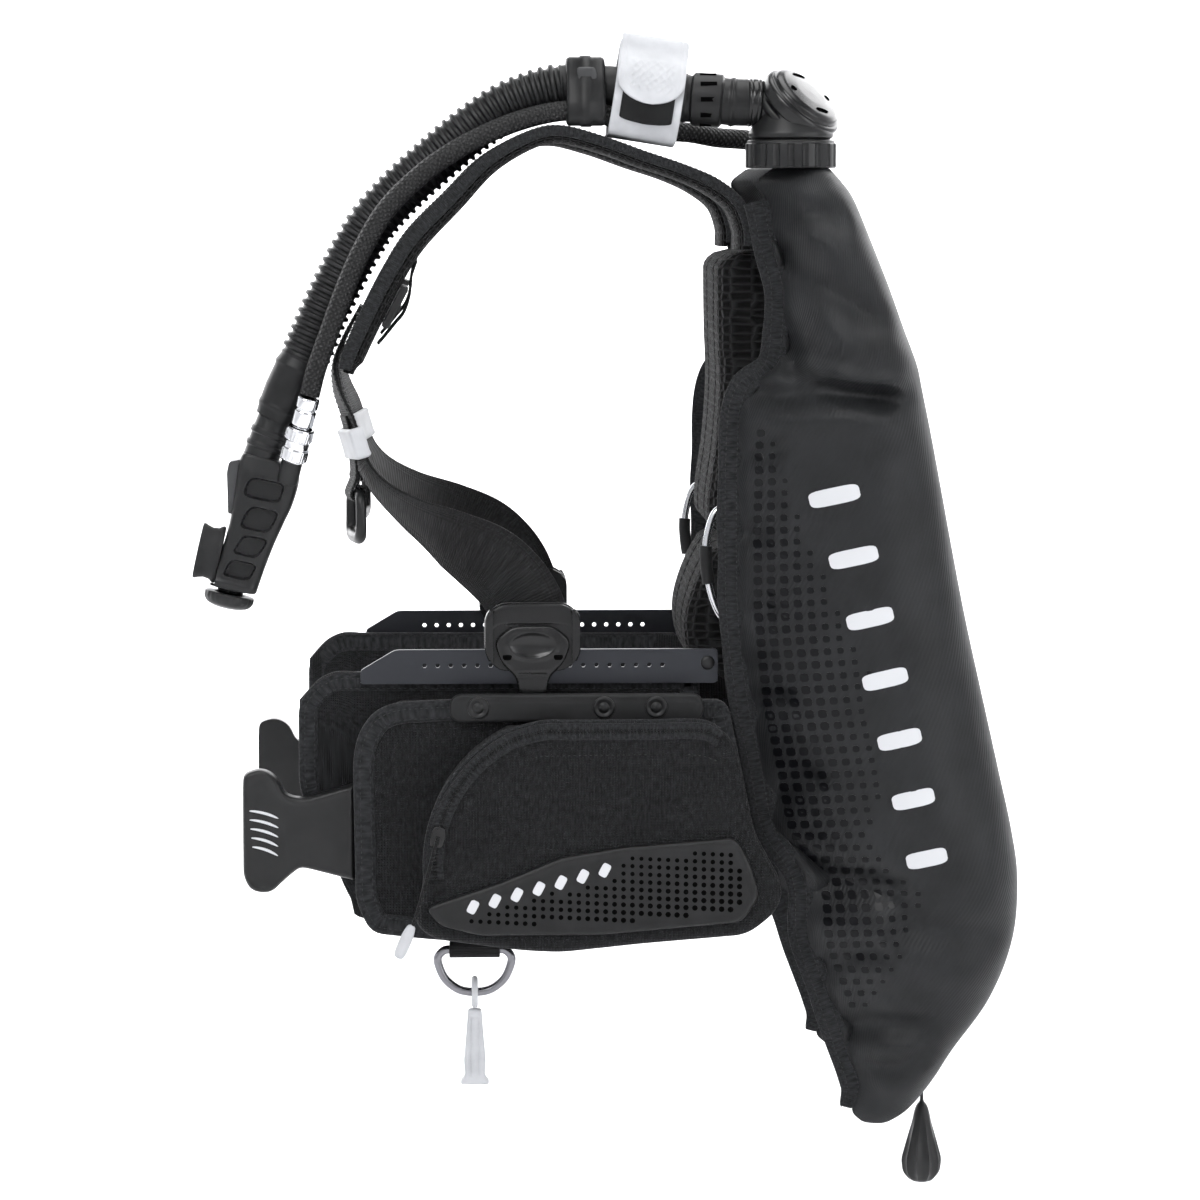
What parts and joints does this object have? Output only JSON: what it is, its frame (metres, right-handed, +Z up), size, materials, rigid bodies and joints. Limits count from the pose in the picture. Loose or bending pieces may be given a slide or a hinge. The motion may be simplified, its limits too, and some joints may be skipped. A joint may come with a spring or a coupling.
{
  "type": "buoyancy compensator vest",
  "caption": "Diving buoyancy vest: air cell wing with backplate, cylinder band, padded shoulder straps, waist panels with pockets and weight pouches, and a corrugated inflator hose.",
  "frame": {"origin": "middle of the flat rubber pad on the backplate that the diving cylinder rests against", "axes": "+X out of that pad towards the cylinder, away from the diver; +Z up as worn; -Y is the diver's left side"},
  "size_m": [0.554, 0.3997, 0.7789],
  "materials": {
    "coated_cloth": "satin coated nylon twill",
    "woven_cloth": "coarse woven nylon",
    "mesh_padding": "black spacer mesh over foam",
    "webbing": "woven black webbing",
    "binding_tape": "grey-black binding tape",
    "dark_rubber": "satin black",
    "light_rubber": "soft light grey",
    "satin_black": "satin black",
    "gloss_black": "gloss black",
    "grey_plastic": "mid grey",
    "chromed_brass": "polished",
    "dark_steel": "dark stainless",
    "dark_alloy": "dark anodised"
  },
  "bodies": {
    "vest": {"air_cell": "coated_cloth", "wing_edge_tape_left": "binding_tape", "wing_edge_tape_right": "binding_tape", "backplate": "satin_black", "tank_grip_pad": "dark_rubber", "back_pad": "mesh_padding", "lumbar_pad": "mesh_padding", "tank_band": "webbing", "cam_buckle_frame": "dark_steel", "shoulder_strap_left": "mesh_padding", "shoulder_strap_right": "mesh_padding", "strap_adjuster_left": "satin_black", "strap_adjuster_right": "satin_black", "strap_webbing_left": "webbing", "strap_webbing_right": "webbing", "waist_rail_left": "dark_alloy", "waist_rail_right": "dark_alloy", "waist_panel_left": "woven_cloth", "waist_panel_right": "woven_cloth", "cargo_pocket_left": "woven_cloth", "cargo_pocket_right": "woven_cloth", "pocket_guard_left": "dark_rubber", "pocket_guard_right": "dark_rubber", "knife_mount_left": "dark_rubber", "d_ring_tab_left": "webbing", "elbow_body": "satin_black", "elbow_cap": "gloss_black", "corrugated_hose": "dark_rubber", "lp_hose": "dark_rubber", "hose_guide": "dark_rubber", "hose_strap": "light_rubber", "lp_hose_fitting": "chromed_brass", "inflator_body": "satin_black", "mouthpiece": "dark_rubber", "lp_hose_ferrule": "chromed_brass", "dump_valve": "satin_black", "side_loop_left": "dark_steel", "side_loop_right": "dark_steel"},
    "cam_lever": {"cam_buckle_lever": "satin_black"},
    "buckle_left": {"rail_buckle_left": "gloss_black"},
    "tongue_left": {"buckle_tongue_left": "satin_black"},
    "weight_left": {"weight_pouch_left": "webbing", "weight_handle_left": "satin_black"},
    "keeper_left": {"strap_keeper_left": "light_rubber"},
    "pull_ring_left": {"pull_ring_left": "satin_black"},
    "buckle_right": {"rail_buckle_right": "gloss_black"},
    "tongue_right": {"buckle_tongue_right": "satin_black"},
    "weight_right": {"weight_pouch_right": "webbing", "weight_handle_right": "satin_black"},
    "keeper_right": {"strap_keeper_right": "light_rubber"},
    "pull_ring_right": {"pull_ring_right": "satin_black"},
    "zip_slider": {"zip_slider_left": "satin_black"},
    "zip_pull": {"zip_pull_left": "light_rubber"},
    "d_ring": {"d_ring_left": "dark_steel"},
    "clip": {"clip_left": "light_rubber"},
    "lock_ring": {"elbow_lock_ring": "satin_black"},
    "inflate_button": {"inflate_button": "grey_plastic"},
    "deflate_button": {"deflate_button": "satin_black"},
    "release_collar": {"quick_release_collar": "chromed_brass"},
    "dump_pull": {"dump_pull": "satin_black"}
  },
  "joints": [
    {"name": "cam_lever_hinge", "type": "hinge", "parent": "vest", "child": "cam_lever", "pos_m": [0.10955, 0.022, -0.062], "axis": [0, 0, 1], "range_deg": [0, 110]},
    {"name": "buckle_left_slide", "type": "slide", "parent": "vest", "child": "buckle_left", "axis": [-1, 0, 0], "range_m": [-0.044, 0.044], "deforming": ["strap_webbing_left"]},
    {"name": "tongue_left_slide", "type": "slide", "parent": "buckle_left", "child": "tongue_left", "axis": [0, 0, 1], "range_m": [0, 0.022]},
    {"name": "weight_left_slide", "type": "slide", "parent": "vest", "child": "weight_left", "axis": [-1, 0, 0], "range_m": [0, 0.18]},
    {"name": "keeper_left_slide", "type": "slide", "parent": "vest", "child": "keeper_left", "axis": [0.284, 0, -0.9588], "range_m": [-0.006, 0.004]},
    {"name": "pull_ring_left_hinge", "type": "hinge", "parent": "vest", "child": "pull_ring_left", "pos_m": [-0.291, -0.1, -0.001], "axis": [0.1736, -0.9848, 0], "range_deg": [-80, 15]},
    {"name": "buckle_right_slide", "type": "slide", "parent": "vest", "child": "buckle_right", "axis": [-1, 0, 0], "range_m": [-0.044, 0.044], "deforming": ["strap_webbing_right"]},
    {"name": "tongue_right_slide", "type": "slide", "parent": "buckle_right", "child": "tongue_right", "axis": [0, 0, 1], "range_m": [0, 0.022]},
    {"name": "weight_right_slide", "type": "slide", "parent": "vest", "child": "weight_right", "axis": [-1, 0, 0], "range_m": [0, 0.18]},
    {"name": "keeper_right_slide", "type": "slide", "parent": "vest", "child": "keeper_right", "axis": [0.284, 0, -0.9588], "range_m": [-0.006, 0.004]},
    {"name": "pull_ring_right_hinge", "type": "hinge", "parent": "vest", "child": "pull_ring_right", "pos_m": [-0.291, 0.1, -0.001], "axis": [-0.1736, -0.9848, 0], "range_deg": [-80, 15]},
    {"name": "zip_slider_arc", "type": "hinge", "parent": "vest", "child": "zip_slider", "pos_m": [-0.147, -0.1903, -0.241], "axis": [0, 1, 0], "range_deg": [0, 52]},
    {"name": "zip_pull_hinge", "type": "hinge", "parent": "zip_slider", "child": "zip_pull", "pos_m": [-0.23699, -0.1946, -0.22187], "axis": [0, 1, 0], "range_deg": [-60, 60]},
    {"name": "d_ring_hinge", "type": "hinge", "parent": "vest", "child": "d_ring", "pos_m": [-0.2125, -0.145, -0.305], "axis": [1, 0, 0], "range_deg": [-60, 60]},
    {"name": "clip_hinge", "type": "hinge", "parent": "d_ring", "child": "clip", "pos_m": [-0.2125, -0.145, -0.334], "axis": [1, 0, 0], "range_deg": [-40, 40]},
    {"name": "lock_ring_turn", "type": "hinge", "parent": "vest", "child": "lock_ring", "pos_m": [0, -0.12, 0.226], "axis": [0, 0, 1], "continuous": true},
    {"name": "inflate_press", "type": "slide", "parent": "vest", "child": "inflate_button", "axis": [0.9754, 0, -0.2205], "range_m": [0, 0.003], "stiffness_N_per_m": 1500, "springref_m": -0.002},
    {"name": "deflate_press", "type": "slide", "parent": "vest", "child": "deflate_button", "axis": [0.2205, 0, 0.9754], "range_m": [0, 0.003], "stiffness_N_per_m": 1500, "springref_m": -0.002},
    {"name": "collar_pull_back", "type": "slide", "parent": "vest", "child": "release_collar", "axis": [0.2567, -0.2334, 0.9379], "range_m": [0, 0.003], "stiffness_N_per_m": 1500, "springref_m": -0.002},
    {"name": "dump_pull_slide", "type": "slide", "parent": "vest", "child": "dump_pull", "axis": [0, 0, -1], "range_m": [0, 0.012], "stiffness_N_per_m": 800, "springref_m": -0.004}
  ]
}
